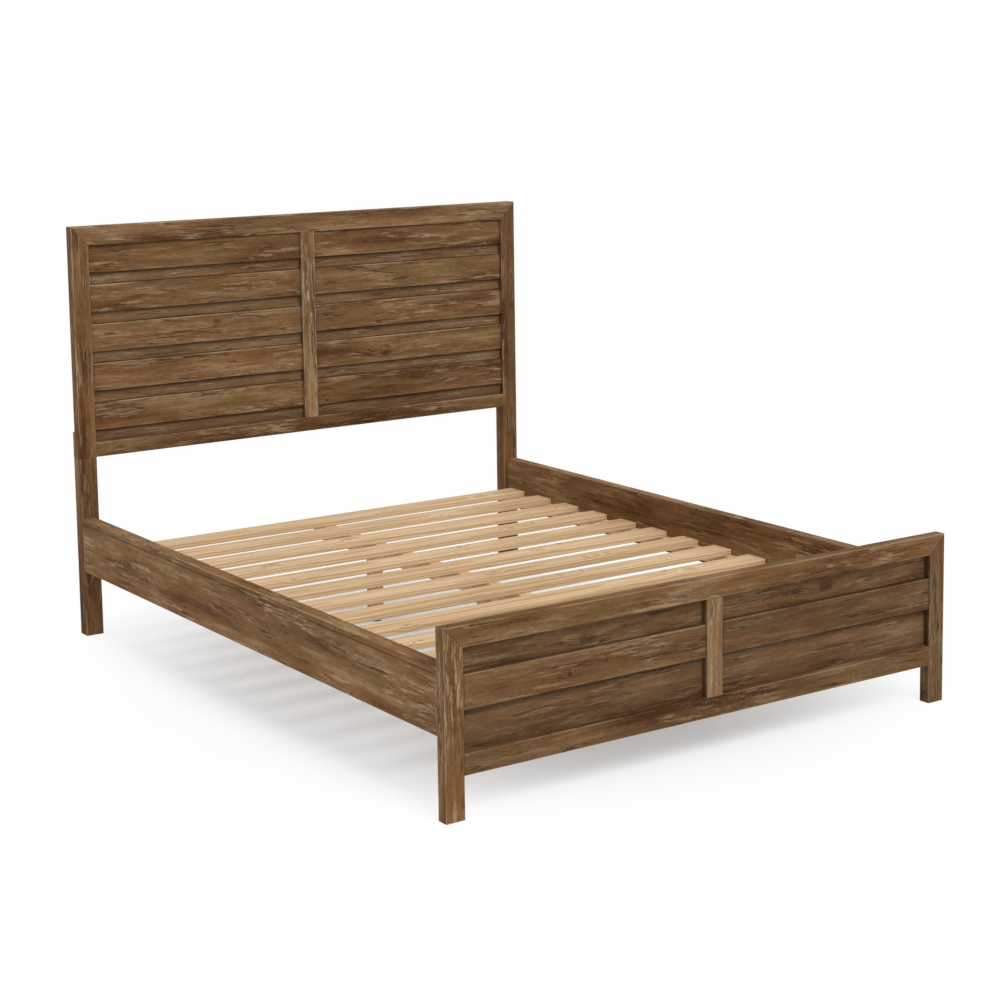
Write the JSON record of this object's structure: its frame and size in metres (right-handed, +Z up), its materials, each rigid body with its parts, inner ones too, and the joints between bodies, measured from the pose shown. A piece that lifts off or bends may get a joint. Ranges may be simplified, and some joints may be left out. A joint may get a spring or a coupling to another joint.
{
  "type": "wooden bed frame",
  "caption": "Wooden panel bed frame with a tall boarded headboard, low boarded footboard, side rails and a slatted deck that holds a mattress.",
  "frame": {"origin": "on the floor under the middle of the bed's bounding box", "axes": "+X to the right seen from the foot of the bed, +Y from foot to head, +Z up"},
  "size_m": [1.63, 2.133, 1.278],
  "materials": {
    "rustic_wood": "brown stained reclaimed-look veneer with dark knots and pale worn streaks, low sheen",
    "slat_wood": "planed pine, unfinished",
    "zinc_steel": "zinc plated",
    "foot_plastic": "moulded black plastic pad on a plated stud"
  },
  "bodies": {
    "bed": {"headboard_left_stile": "rustic_wood", "headboard_right_stile": "rustic_wood", "headboard_top_rail": "rustic_wood", "headboard_bottom_rail": "rustic_wood", "headboard_centre_stile": "rustic_wood", "headboard_back_panel": "rustic_wood", "footboard_left_post": "rustic_wood", "footboard_right_post": "rustic_wood", "footboard_top_rail": "rustic_wood", "footboard_bottom_rail": "rustic_wood", "footboard_centre_stile": "rustic_wood", "footboard_back_panel": "rustic_wood", "headboard_board_left_1": "rustic_wood", "headboard_board_left_2": "rustic_wood", "headboard_board_left_3": "rustic_wood", "headboard_board_left_4": "rustic_wood", "headboard_board_left_5": "rustic_wood", "footboard_board_left": "rustic_wood", "headboard_left_leg": "rustic_wood", "left_side_rail": "rustic_wood", "headboard_board_right_1": "rustic_wood", "headboard_board_right_2": "rustic_wood", "headboard_board_right_3": "rustic_wood", "headboard_board_right_4": "rustic_wood", "headboard_board_right_5": "rustic_wood", "footboard_board_right": "rustic_wood", "headboard_right_leg": "rustic_wood", "right_side_rail": "rustic_wood", "left_slat_cleat": "slat_wood", "right_slat_cleat": "slat_wood", "centre_beam": "slat_wood", "mitre_splines": "slat_wood", "slat_01": "slat_wood", "slat_02": "slat_wood", "slat_03": "slat_wood", "slat_04": "slat_wood", "slat_05": "slat_wood", "slat_06": "slat_wood", "slat_07": "slat_wood", "slat_08": "slat_wood", "slat_09": "slat_wood", "slat_10": "slat_wood", "slat_11": "slat_wood", "slat_12": "slat_wood", "slat_13": "slat_wood", "support_leg_1": "slat_wood", "support_leg_2": "slat_wood", "support_leg_3": "slat_wood", "rail_slot_plates": "zinc_steel", "rail_hook_plates": "zinc_steel", "rail_plate_screws": "zinc_steel", "slat_screws": "zinc_steel", "cleat_screws": "zinc_steel", "headboard_leg_bolts": "zinc_steel", "support_leg_bolts": "zinc_steel", "foot_inserts": "zinc_steel"},
    "foot_1": {"levelling_foot_1": "foot_plastic"},
    "foot_2": {"levelling_foot_2": "foot_plastic"},
    "foot_3": {"levelling_foot_3": "foot_plastic"}
  },
  "joints": [
    {"name": "foot_1_level", "type": "slide", "parent": "bed", "child": "foot_1", "axis": [0, 0, 1], "range_m": [-0.008, 0.012]},
    {"name": "foot_2_level", "type": "slide", "parent": "bed", "child": "foot_2", "axis": [0, 0, 1], "range_m": [-0.008, 0.012]},
    {"name": "foot_3_level", "type": "slide", "parent": "bed", "child": "foot_3", "axis": [0, 0, 1], "range_m": [-0.008, 0.012]}
  ]
}
